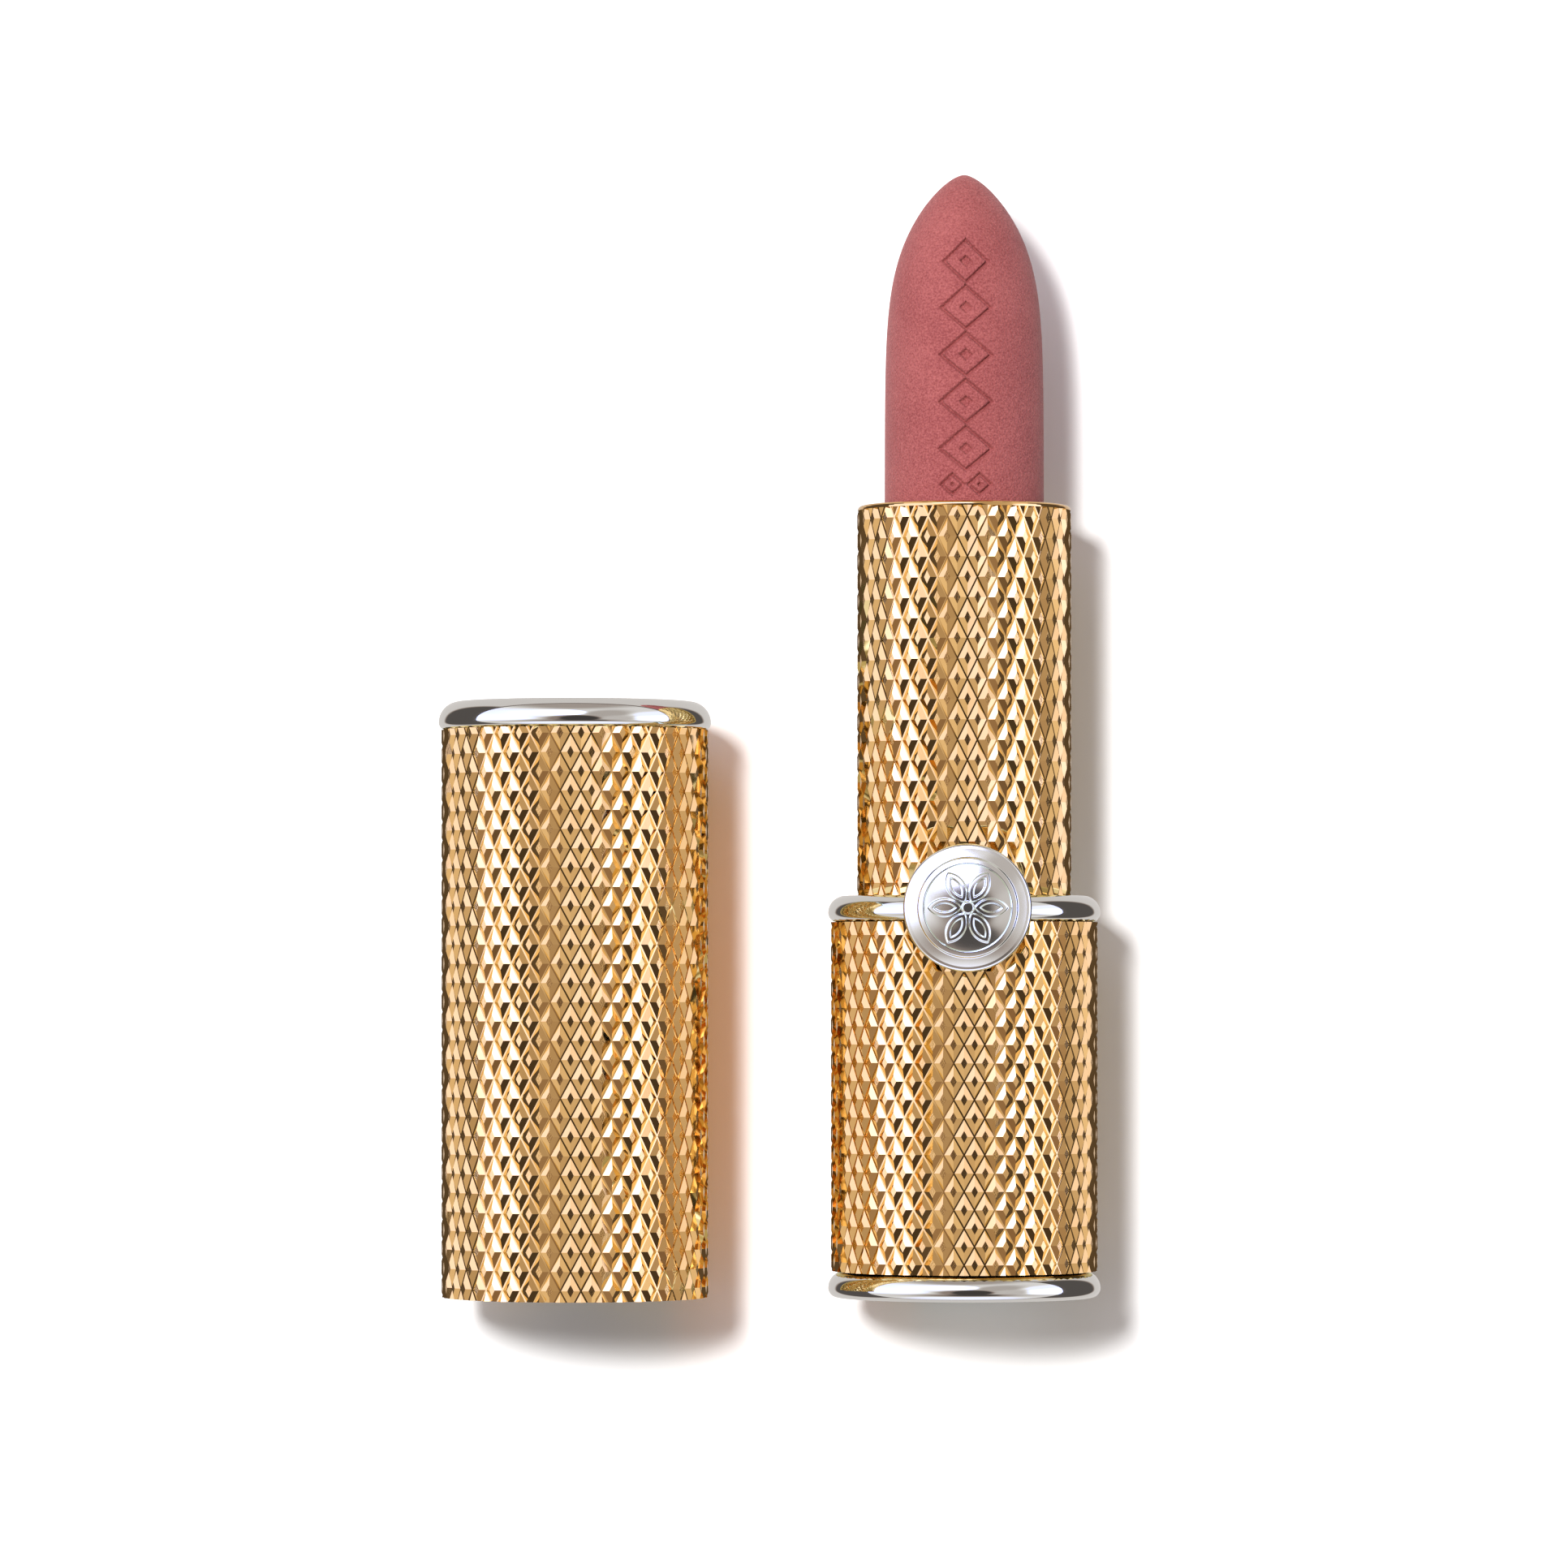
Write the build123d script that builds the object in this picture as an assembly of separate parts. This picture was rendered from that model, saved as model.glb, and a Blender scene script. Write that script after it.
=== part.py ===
from build123d import *
import math
import os

# A turn-up lipstick case lying on its side with its cap laid beside it.
# Lengths are in millimetres.  Every piece is drawn standing on the foot of the case, with +Z up the
# turning axis and the medallion on the -Y side, and is laid down at the end: the turning axis becomes
# +Y of the row, the medallion faces +Z, and the centre of the foot stays at the origin.

# Wax bullet
bullet_radius = 6.05
bullet_showing = 25.2            # length out of the shell when it is turned fully up
ogive_length = 17.6              # the pointed end, down to where the bullet is a full cylinder
ogive_stations = [               # (share of the ogive length below the tip, share of the bullet radius)
    (0.028, 0.185),
    (0.085, 0.375),
    (0.225, 0.656),
    (0.437, 0.888),
    (0.648, 0.965),
]

# Turn-up mechanism, as walls and gaps going outwards from the bullet
cup_wall = 0.40
cup_gap = 0.10
guide_wall = 0.45
guide_gap = 0.06
spiral_wall = 0.50
glue_gap = 0.03                  # between pieces that are glued or pressed together
shell_wall = 0.56
relief_depth = 0.26              # depth of the engraved pattern, taken out of the outer walls

stroke = 26.5                    # travel of the bullet from fully up to fully down
twist_pitch = 20.0               # rise of the bullet in one turn of the shell
cup_drop = 2.2                   # rim of the cup below the top of the shell, fully up
cup_depth = 9.2
cup_floor = 0.8
cup_hole_radius = 1.5
cup_rib = 0.30                   # width and height of the ribs that grip the wax
cup_rib_count = 6
lug_radius = 0.80
lug_height = 1.7                 # lug axis above the underside of the cup
lug_count = 2
slot_gap = 0.07                  # each side of a lug in its slots
spiral_band = 1.5                # unbroken band at the lower end of the spiral sleeve
end_gap = 0.10                   # axial clearance between pieces that turn on each other
lip_thickness = 0.50             # turned-in lip at the top of the shell
lip_round = 0.45
shell_skirt = 0.15               # how far the shell reaches below the spiral sleeve
bead_height = 0.50               # snap bead that keeps the spiral sleeve on the guide tube
bead_reach = 0.22
flange_thickness = 0.80
drag_ring_section = 0.22         # radius of the silicone ring's section
foot_length = 7.0                # ribbed foot of the guide tube, pressed into the base liner
foot_wall = 1.0
foot_rib_count = 24
foot_rib_depth = 0.15
foot_rib_width = 0.5

# Base and collar
disc_thickness = 2.0
base_sleeve_length = 26.5
collar_thickness = 2.0
shell_showing = 29.6             # length of the shell above the collar
collar_gap = 0.12                # around the turning shell
spigot_length = 2.5
sleeve_wall = 0.62
liner_wall = 1.20
liner_web = 1.2
liner_chamfer = 0.3
disc_overhang = 0.20             # how far the plated discs and the collar stand proud of the sleeves
exposed_share = 0.65             # share of a plate's rim that is rounded towards its exposed side
label_radius = 7.6
label_thickness = 0.10          # and the depth of the recess it is stuck in
label_gap = 0.10
magnet_wall = 0.60
magnet_length = 3.0
magnet_cover = 0.8               # plated metal left over the magnet

# Medallion
medallion_radius = 4.8
medallion_thickness = 1.6
medallion_round = 0.35
medallion_back_round = 0.15
medallion_gap = 0.12             # between the sleeves and the back of the medallion, for the cap to pass
medallion_crown = 1.15           # height of the domed face above its edge
stud_radius = 0.6
stud_length = 1.1

# Cap
cap_sleeve_length = 43.1
cap_disc_thickness = 2.15
cap_exposed_share = 0.74         # as exposed_share, for the cap's fuller disc
cap_gap = 0.15                   # between the shell and the bore of the cap liner
cap_headroom = 3.4               # free length above the shell when the cap is on
cap_floor = 1.2
cap_weight_thickness = 4.5
catch_thickness = 1.0
catch_recess = 0.10              # catch ring set in from the rim of the cap
cap_beside = 29.6                # distance from the axis of the case to the axis of the cap laid beside it
edge_break = 0.12                # small chamfer on the ends of the metal sleeves

# Radii that follow from the walls and gaps
cup_radius = bullet_radius + cup_wall
guide_bore = cup_radius + cup_gap
guide_radius = guide_bore + guide_wall
spiral_bore = guide_radius + guide_gap
spiral_radius = spiral_bore + spiral_wall
shell_bore = spiral_radius + glue_gap
shell_radius = shell_bore + shell_wall
liner_bore = shell_radius + cap_gap
liner_radius = liner_bore + liner_wall
sleeve_bore = liner_radius + glue_gap
sleeve_radius = sleeve_bore + sleeve_wall
disc_radius = sleeve_radius + disc_overhang
weight_radius = liner_radius - 0.6
collar_bore = shell_radius + collar_gap
medallion_back = sleeve_radius + medallion_gap

# Heights above the foot, going up the case
sleeve_top = disc_thickness + base_sleeve_length
collar_top = sleeve_top + collar_thickness
collar_middle = sleeve_top + collar_thickness / 2
shell_top = collar_top + shell_showing
bullet_tip = shell_top + bullet_showing
cup_top = shell_top - cup_drop
cup_inside = cup_top - cup_depth
cup_bottom = cup_inside - cup_floor
lug_top = cup_bottom + lug_height
lug_low = lug_top - stroke
spiral_top = shell_top - lip_thickness - end_gap
spiral_low = lug_low - lug_radius - slot_gap - spiral_band
shell_low = spiral_low - shell_skirt
flange_top = spiral_low - 2 * drag_ring_section - end_gap
foot_top = flange_top - flange_thickness
foot_low = foot_top - foot_length
web_low = foot_low - liner_web
weight_low = disc_thickness + spigot_length + glue_gap
liner_top = sleeve_top - spigot_length


def tube(bore, radius, low, high):
    """A plain tube about the axis, or a solid cylinder where the bore is 0."""
    shape = Pos(0, 0, low) * Cylinder(radius, high - low, align=(Align.CENTER, Align.CENTER, Align.MIN))
    if bore > 0:
        shape -= Pos(0, 0, low) * Cylinder(bore, high - low, align=(Align.CENTER, Align.CENTER, Align.MIN))
    return shape


def sleeve(length, low):
    """A thin metal sleeve with broken edges, its outside at the tops of the engraved pattern."""
    shape = tube(sleeve_bore, sleeve_radius, low, low + length)
    ends = [e for e in shape.edges().filter_by(GeomType.CIRCLE) if e.radius > sleeve_bore + edge_break]
    return chamfer(ends, edge_break)


def round_edged_plate(bore, thickness, upper_share):
    """A plated disc or ring whose rim is two quarter rounds, the upper one the given share of it."""
    upper = thickness * upper_share
    lower = thickness - upper
    profile = Wire([
        Line((bore, 0), (disc_radius - lower, 0)),
        RadiusArc((disc_radius - lower, 0), (disc_radius, lower), -lower),
        RadiusArc((disc_radius, lower), (disc_radius - upper, thickness), -upper),
        Line((disc_radius - upper, thickness), (bore, thickness)),
        Line((bore, thickness), (bore, 0)),
    ])
    return revolve(Plane.XZ * make_face(profile), Axis.Z)


def around(count, shape):
    """Copies of a shape, evenly spaced about the axis."""
    return [Rot(0, 0, 360 * k / count) * shape for k in range(count)]


# Carrier: the wax bullet in its cup

def cup_ribs(growth):
    """The ribs inside the cup, longer at their foot by the growth given."""
    length = cup_depth * 0.8
    rib = Pos(bullet_radius - cup_rib / 2 + cup_wall / 4, 0, cup_inside - growth) * Box(
        cup_rib + cup_wall / 2, cup_rib, length + growth, align=(Align.CENTER, Align.CENTER, Align.MIN)
    )
    return around(cup_rib_count, Rot(0, 0, 30) * rib)


def carrier_cup():
    shape = tube(bullet_radius, cup_radius, cup_bottom, cup_top)
    shape += tube(cup_hole_radius, cup_radius, cup_bottom, cup_inside)
    lug_reach = shell_bore - 2 * end_gap - bullet_radius
    lug = Pos(bullet_radius + cup_wall / 2, 0, lug_top) * Rot(0, 90, 0) * Cylinder(
        lug_radius, lug_reach - cup_wall / 2, align=(Align.CENTER, Align.CENTER, Align.MIN)
    )
    return shape + around(lug_count, lug) + cup_ribs(cup_floor / 2)


def bullet():
    ogive_foot = bullet_tip - ogive_length
    stations = [
        (bullet_radius * width, bullet_tip - ogive_length * drop) for drop, width in ogive_stations
    ]
    flank = Spline(
        (0, bullet_tip), *stations, (bullet_radius, ogive_foot), tangents=[(1, 0), (0, -1)]
    )
    outline = Wire([
        flank,
        Line((bullet_radius, ogive_foot), (bullet_radius, cup_inside)),
        Line((bullet_radius, cup_inside), (0, cup_inside)),
        Line((0, cup_inside), (0, bullet_tip)),
    ])
    wax = revolve(Plane.XZ * make_face(outline), Axis.Z)
    return wax - cup_ribs(0)


# Guide tube: straight slots that stop the cup from turning

def guide_tube():
    shape = tube(guide_bore, guide_radius, foot_low, spiral_top)
    shape += tube(guide_bore, guide_bore + foot_wall, foot_low, foot_top)
    shape += tube(guide_bore, shell_radius - relief_depth, foot_top, flange_top)
    bead_low = spiral_top - bead_height
    shape += tube(guide_bore, guide_radius + bead_reach, bead_low, spiral_top)
    slot_half = lug_radius + slot_gap
    slot_top = lug_top + slot_half
    slot_low = lug_low - slot_half
    slot = Pos(guide_radius, 0, slot_low) * Box(
        4 * guide_wall, 2 * slot_half, slot_top - slot_low, align=(Align.CENTER, Align.CENTER, Align.MIN)
    )
    foot_ribs = Pos(guide_bore + foot_wall, 0, foot_low) * Box(
        2 * foot_rib_depth, foot_rib_width, foot_length, align=(Align.CENTER, Align.CENTER, Align.MIN)
    )
    return shape - around(lug_count, slot) - around(foot_rib_count, foot_ribs)


def spiral_sleeve():
    """Sleeve with one helical slot for each lug; it turns with the shell and lifts the cup."""
    shape = tube(spiral_bore, spiral_radius, spiral_low, spiral_top)
    step_low = spiral_top - bead_height - end_gap
    shape -= tube(0, guide_radius + bead_reach + guide_gap, step_low, spiral_top)
    middle = (spiral_bore + spiral_radius) / 2
    slot_half = lug_radius + slot_gap
    path = Pos(0, 0, lug_low) * Helix(twist_pitch, stroke, middle)
    section = Plane(origin=path @ 0, z_dir=path % 0, x_dir=(1, 0, 0)) * Rectangle(
        3 * spiral_wall, 2 * slot_half
    )
    slot = sweep(section, path=path, is_frenet=True)
    turns_up = 360 * stroke / twist_pitch
    rounded = Rot(0, 90, 0) * Cylinder(slot_half, 3 * spiral_wall)
    low_end = Pos(middle, 0, lug_low) * rounded
    high_end = Rot(0, 0, turns_up) * Pos(middle, 0, lug_top) * rounded
    # At rest each lug stands at the upper end of its slot, at the lug's own angle.
    cutter = Rot(0, 0, -turns_up) * (slot + low_end + high_end)
    return shape - around(lug_count, cutter)


def drag_ring():
    """Silicone ring on the guide tube's flange, which gives the turning its drag."""
    middle = (guide_radius + shell_bore) / 2
    height = flange_top + drag_ring_section
    return Pos(0, 0, height) * Torus(middle, drag_ring_section)


def upper_sleeve():
    """The turning shell that is held between finger and thumb."""
    shape = tube(0, shell_radius - relief_depth, shell_low, collar_top)
    shape += tube(0, shell_radius, collar_top - collar_thickness / 2, shell_top)
    rim = shape.edges().filter_by(GeomType.CIRCLE).sort_by(Axis.Z)[-1]
    shape = fillet(rim, lip_round)
    shape -= tube(0, shell_bore, shell_low, shell_top - lip_thickness)
    return shape - tube(0, guide_bore + cup_gap, shell_low, shell_top)


# Base: what the other hand holds

def base_sleeve():
    return sleeve(base_sleeve_length, disc_thickness)


def base_liner():
    shape = tube(liner_bore, liner_radius, foot_top, liner_top)
    shape += tube(guide_bore + foot_wall + glue_gap, liner_radius, foot_low, foot_top)
    shape += tube(0, liner_radius, web_low, foot_low)
    return shape + tube(weight_radius + glue_gap, liner_radius, weight_low, web_low)


def base_weight():
    return tube(0, weight_radius, weight_low, web_low - glue_gap)


def base_disc():
    """Plated foot disc with a spigot into the base sleeve and a recess for the label."""
    shape = round_edged_plate(0, disc_thickness, 1 - exposed_share)
    shape += tube(weight_radius, liner_radius, disc_thickness, disc_thickness + spigot_length)
    return shape - tube(0, label_radius + label_gap, 0, label_thickness)


def shade_label():
    return tube(0, label_radius, 0, label_thickness)


def medallion_stud(radius):
    return Pos(0, -medallion_back, collar_middle) * Rot(90, 0, 0) * Cylinder(
        radius, stud_length, align=(Align.CENTER, Align.CENTER, Align.MAX)
    )


def collar_ring():
    """Plated collar that the cap closes on; its spigot stands in the base sleeve."""
    shape = Pos(0, 0, sleeve_top) * round_edged_plate(collar_bore, collar_thickness, exposed_share)
    magnet_outside = collar_bore + magnet_wall
    shape += tube(magnet_outside, liner_radius, liner_top, sleeve_top)
    shape -= tube(0, magnet_outside, liner_top, collar_top - magnet_cover)
    seat = Pos(0, -medallion_back, collar_middle) * Box(
        2 * medallion_radius, disc_radius, 2 * collar_thickness, align=(Align.CENTER, Align.MAX, Align.CENTER)
    )
    return shape - seat - medallion_stud(stud_radius)


def closure_magnet():
    """Ring magnet hidden in the collar, which draws the catch ring of the cap."""
    high = collar_top - magnet_cover - glue_gap
    return tube(collar_bore, collar_bore + magnet_wall - glue_gap, high - magnet_length, high)


def medallion():
    """Round badge standing on the front of the collar, clear of the cap that slides behind it."""
    edge_height = medallion_thickness - medallion_crown
    rim = medallion_radius - medallion_round
    outline = Wire([
        Line((0, 0), (medallion_radius - medallion_back_round, 0)),
        RadiusArc(
            (medallion_radius - medallion_back_round, 0),
            (medallion_radius, medallion_back_round),
            -medallion_back_round,
        ),
        Line((medallion_radius, medallion_back_round), (medallion_radius, edge_height - medallion_round)),
        RadiusArc((medallion_radius, edge_height - medallion_round), (rim, edge_height), -medallion_round),
        TangentArc((0, medallion_thickness), (rim, edge_height), tangent=(1, 0), tangent_from_first=True),
        Line((0, medallion_thickness), (0, 0)),
    ])
    badge = revolve(Plane.XZ * make_face(outline), Axis.Z)
    return Pos(0, -medallion_back, collar_middle) * Rot(90, 0, 0) * badge + medallion_stud(stud_radius)


# Cap, drawn with its rim at the height of the foot

cap_liner_low = catch_recess + catch_thickness
cap_inside = shell_showing + cap_headroom
cap_weight_low = cap_inside + cap_floor + glue_gap


def cap_sleeve():
    return sleeve(cap_sleeve_length, 0)


def cap_liner():
    shape = tube(liner_bore, liner_radius, cap_liner_low, cap_inside)
    mouth = [e for e in shape.edges().filter_by(GeomType.CIRCLE) if e.radius < liner_bore + liner_wall / 2]
    shape = chamfer(sorted(mouth, key=lambda e: e.center().Z)[:1], liner_chamfer)
    shape += tube(0, liner_radius, cap_inside, cap_inside + cap_floor)
    pocket_top = cap_weight_low + cap_weight_thickness
    return shape + tube(weight_radius + glue_gap, liner_radius, cap_inside + cap_floor, pocket_top)


def cap_weight():
    return tube(0, weight_radius, cap_weight_low, cap_weight_low + cap_weight_thickness)


def catch_ring():
    """Steel ring in the mouth of the cap, drawn by the magnet in the collar."""
    return tube(liner_bore, liner_radius, catch_recess, cap_liner_low - glue_gap)


def cap_disc():
    shape = Pos(0, 0, cap_sleeve_length) * round_edged_plate(0, cap_disc_thickness, cap_exposed_share)
    return shape + tube(weight_radius, liner_radius, cap_sleeve_length - spigot_length, cap_sleeve_length)


case_pieces = [
    base_sleeve, base_liner, base_weight, base_disc, shade_label, collar_ring, closure_magnet, medallion,
    guide_tube, drag_ring, spiral_sleeve, upper_sleeve, carrier_cup, bullet,
]
cap_pieces = [cap_sleeve, cap_liner, cap_weight, catch_ring, cap_disc]

os.makedirs("parts", exist_ok=True)
lay_down = Rot(-90, 0, 0)
for piece in case_pieces:
    export_step(lay_down * piece(), f"parts/{piece.__name__}.step")
for piece in cap_pieces:
    export_step(Pos(-cap_beside, 0, 0) * lay_down * piece(), f"parts/{piece.__name__}.step")
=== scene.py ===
import math

import bmesh
import bpy
from mathutils import Matrix, Vector


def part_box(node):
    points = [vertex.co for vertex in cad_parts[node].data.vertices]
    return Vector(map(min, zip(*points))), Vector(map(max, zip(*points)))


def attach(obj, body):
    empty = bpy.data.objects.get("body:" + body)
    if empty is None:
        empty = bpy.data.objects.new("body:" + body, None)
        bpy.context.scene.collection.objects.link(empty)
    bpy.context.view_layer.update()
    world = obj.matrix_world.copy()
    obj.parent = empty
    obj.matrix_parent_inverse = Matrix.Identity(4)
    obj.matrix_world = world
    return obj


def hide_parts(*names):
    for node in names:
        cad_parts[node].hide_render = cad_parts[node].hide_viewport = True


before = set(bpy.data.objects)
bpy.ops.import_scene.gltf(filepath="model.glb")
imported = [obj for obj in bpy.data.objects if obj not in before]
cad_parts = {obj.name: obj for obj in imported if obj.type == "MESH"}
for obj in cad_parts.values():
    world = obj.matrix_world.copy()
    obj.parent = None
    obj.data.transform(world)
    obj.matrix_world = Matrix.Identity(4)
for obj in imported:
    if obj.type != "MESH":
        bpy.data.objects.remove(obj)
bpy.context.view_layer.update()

# A turn-up lipstick case lying beside its cap.  Lengths are in metres, and MM turns a size in
# millimetres into them.  Turned pieces are drawn standing on the origin, with +Z up the axis and the
# front on the -Y side, and are then laid down: the axis becomes +Y and the front faces up.

MM = 0.001
FULL_TURN = 2 * math.pi


# ---------------------------------------------------------------- places taken from the CAD nodes

def turned_box(node):
    """(lower end, upper end, radius) of a node that is turned about an axis along Y."""
    low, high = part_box(node)
    return low.y, high.y, (high.x - low.x) / 2


def axis_of(node):
    low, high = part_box(node)
    return (low.x + high.x) / 2


sleeve_low, sleeve_top, sleeve_radius = turned_box("base_sleeve")
foot_low, _, disc_radius = turned_box("base_disc")
collar_top = turned_box("collar_ring")[1]
shell_low, shell_top, shell_radius = turned_box("upper_sleeve")
bullet_foot, bullet_tip, bullet_radius = turned_box("bullet")
cap_low, cap_sleeve_top, _ = turned_box("cap_sleeve")
cap_top = turned_box("cap_disc")[1]
cap_axis = axis_of("cap_sleeve")
badge_low, badge_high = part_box("medallion")
badge_radius = (badge_high.x - badge_low.x) / 2
badge_front = badge_high.z
badge_middle = (badge_low.y + badge_high.y) / 2

# Sizes that the CAD nodes' boxes don't give
sleeve_bore = 9.53 * MM
shell_bore = 7.59 * MM
lip_bore = 6.65 * MM
relief_depth = 0.26 * MM
facet_run = 0.40 * MM
groove_width = 0.12 * MM         # between the feet of neighbouring diamonds
plate_crease = math.radians(35)
badge_crease = math.radians(50)
wax_crease = math.radians(60)
facet_crease = math.radians(9)   # the facets meet at a larger angle than this, the parts of a top at less
badge_relief = 0.15 * MM
lip_thickness = 0.5 * MM
edge_break = 0.05 * MM           # tiny bevel on the turned edges
spigot_length = 2.5 * MM         # of the plated pieces, into their sleeves
spigot_bore = 8.9 * MM


# ------------------------------------------------------------------------------- mesh helpers

def finished(name, bm, material, body, node, smooth_below, axis_x=0.0):
    """Lays a turned piece down on its axis and makes it an object that rides on a body.  Edges whose
    faces meet at less than the angle smooth_below are shaded smooth."""
    bmesh.ops.recalc_face_normals(bm, faces=bm.faces)
    bmesh.ops.rotate(bm, cent=(0, 0, 0), matrix=Matrix.Rotation(-math.pi / 2, 3, "X"), verts=bm.verts)
    bmesh.ops.translate(bm, vec=(axis_x, 0, 0), verts=bm.verts)
    for face in bm.faces:
        face.smooth = True
    for edge in bm.edges:
        edge.smooth = len(edge.link_faces) == 2 and edge.calc_face_angle() < smooth_below
    mesh = bpy.data.meshes.new(name)
    bm.to_mesh(mesh)
    bm.free()
    mesh.materials.append(material)
    piece = bpy.data.objects.new(name, mesh)
    bpy.context.collection.objects.link(piece)
    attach(piece, body)
    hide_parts(node)
    return piece


def arc(centre, radius, start, stop, steps):
    """Points of an arc in the (radius, height) plane, from one angle in degrees to another."""
    points = []
    for k in range(steps + 1):
        angle = math.radians(start + (stop - start) * k / steps)
        points.append((centre[0] + radius * math.cos(angle), centre[1] + radius * math.sin(angle)))
    return points


def spun(outline, steps=192):
    """A bmesh turned about Z from an outline of (radius, height) points that starts and ends on the
    axis, or is a closed loop away from it."""
    bm = bmesh.new()
    verts = [bm.verts.new((0, -radius, height)) for radius, height in outline]
    edges = [bm.edges.new(pair) for pair in zip(verts, verts[1:])]
    if outline[0][0] > 0:
        edges.append(bm.edges.new((verts[-1], verts[0])))
    bmesh.ops.spin(
        bm, geom=verts + edges, cent=(0, 0, 0), axis=(0, 0, 1), angle=FULL_TURN, steps=steps, use_merge=True
    )
    bmesh.ops.remove_doubles(bm, verts=bm.verts, dist=0.001 * MM)
    return bm


# --------------------------------------------------------------------------- diamond relief

def diamond_field(crest, low, high, columns, period, phase, turn):
    """Rows of raised four-sided diamonds on a cylinder, cut off square at both ends.  The front column
    has a diamond centred a share of the period above the lower end, and stands turned aside."""
    half_angle = math.pi / columns
    root = crest - relief_depth
    bm = bmesh.new()
    cell = bmesh.ops.create_circle(bm, cap_ends=True, segments=4, radius=1)["verts"]
    bmesh.ops.scale(bm, vec=(root * math.sin(half_angle), period / 2, 1), verts=cell)
    bmesh.ops.rotate(bm, cent=(0, 0, 0), matrix=Matrix.Rotation(math.pi / 2, 3, "X"), verts=cell)
    bmesh.ops.translate(bm, vec=(0, -root, low + phase * period), verts=cell)
    sides = [v for v in cell if abs(v.co.x) > root * math.sin(half_angle) / 2]
    bmesh.ops.translate(bm, vec=(0, root * (1 - math.cos(half_angle)), 0), verts=sides)
    first = bm.verts[:] + bm.edges[:] + bm.faces[:]
    rows = math.ceil((high - low) / period) + 2
    for row in range(1, rows):
        copy = bmesh.ops.duplicate(bm, geom=first)["geom"]
        lifted = [g for g in copy if isinstance(g, bmesh.types.BMVert)]
        bmesh.ops.translate(bm, vec=(0, 0, row * period), verts=lifted)
    column = bm.verts[:] + bm.edges[:] + bm.faces[:]
    copy = bmesh.ops.duplicate(bm, geom=column)["geom"]
    shifted = [g for g in copy if isinstance(g, bmesh.types.BMVert)]
    bmesh.ops.rotate(bm, cent=(0, 0, 0), matrix=Matrix.Rotation(half_angle, 3, "Z"), verts=shifted)
    bmesh.ops.translate(bm, vec=(0, 0, -period / 2), verts=shifted)
    bmesh.ops.spin(
        bm, geom=bm.verts[:] + bm.edges[:] + bm.faces[:], cent=(0, 0, 0), axis=(0, 0, 1),
        angle=FULL_TURN * (columns - 1) / columns, steps=columns - 1, use_duplicate=True,
    )
    bmesh.ops.rotate(bm, cent=(0, 0, 0), matrix=Matrix.Rotation(turn, 3, "Z"), verts=bm.verts)
    bmesh.ops.remove_doubles(bm, verts=bm.verts, dist=0.01 * MM)
    bmesh.ops.recalc_face_normals(bm, faces=bm.faces)
    if sum(f.normal.x * f.calc_center_median().x for f in bm.faces) < 0:
        bmesh.ops.reverse_faces(bm, faces=bm.faces)
    diamonds = bm.faces[:]
    bmesh.ops.inset_individual(bm, faces=diamonds, thickness=groove_width / 2, use_even_offset=True)
    bmesh.ops.planar_faces(bm, faces=diamonds, iterations=20, factor=0.5)
    facets = bmesh.ops.inset_individual(
        bm, faces=diamonds, thickness=facet_run, depth=relief_depth, use_even_offset=True
    )["faces"]
    bmesh.ops.planar_faces(bm, faces=facets, iterations=60, factor=0.5)
    for height, keep_above in ((low, True), (high, False)):
        bmesh.ops.bisect_plane(
            bm, geom=bm.verts[:] + bm.edges[:] + bm.faces[:], dist=0.0005 * MM,
            plane_co=(0, 0, height), plane_no=(0, 0, -1 if keep_above else 1), clear_outer=True,
        )
    return bm


def boundary_ring(bm, height):
    """The open edges of a mesh at one height."""
    return [
        e for e in bm.edges
        if e.is_boundary and all(abs(v.co.z - height) < 0.01 * MM for v in e.verts)
    ]


def moved_ring(bm, edges, radius, height):
    """Extrudes a ring of edges to a plain circle of one radius and height."""
    grown = bmesh.ops.extrude_edge_only(bm, edges=edges)["geom"]
    for vert in (g for g in grown if isinstance(g, bmesh.types.BMVert)):
        flat = Vector((vert.co.x, vert.co.y)).normalized() * radius
        vert.co = (flat.x, flat.y, height)
    return [g for g in grown if isinstance(g, bmesh.types.BMEdge)]


def relief_sleeve(name, low, high, period, phase, turn, gold, body, node, axis_x=0.0):
    """A gold sleeve whose diamonds run from end to end."""
    bm = diamond_field(sleeve_radius, low, high, 40, period, phase, turn)
    lower = moved_ring(bm, boundary_ring(bm, low), sleeve_bore, low)
    upper = moved_ring(bm, boundary_ring(bm, high), sleeve_bore, high)
    bmesh.ops.bridge_loops(bm, edges=lower + upper)
    return finished(name, bm, gold, body, node, facet_crease, axis_x)


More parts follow.
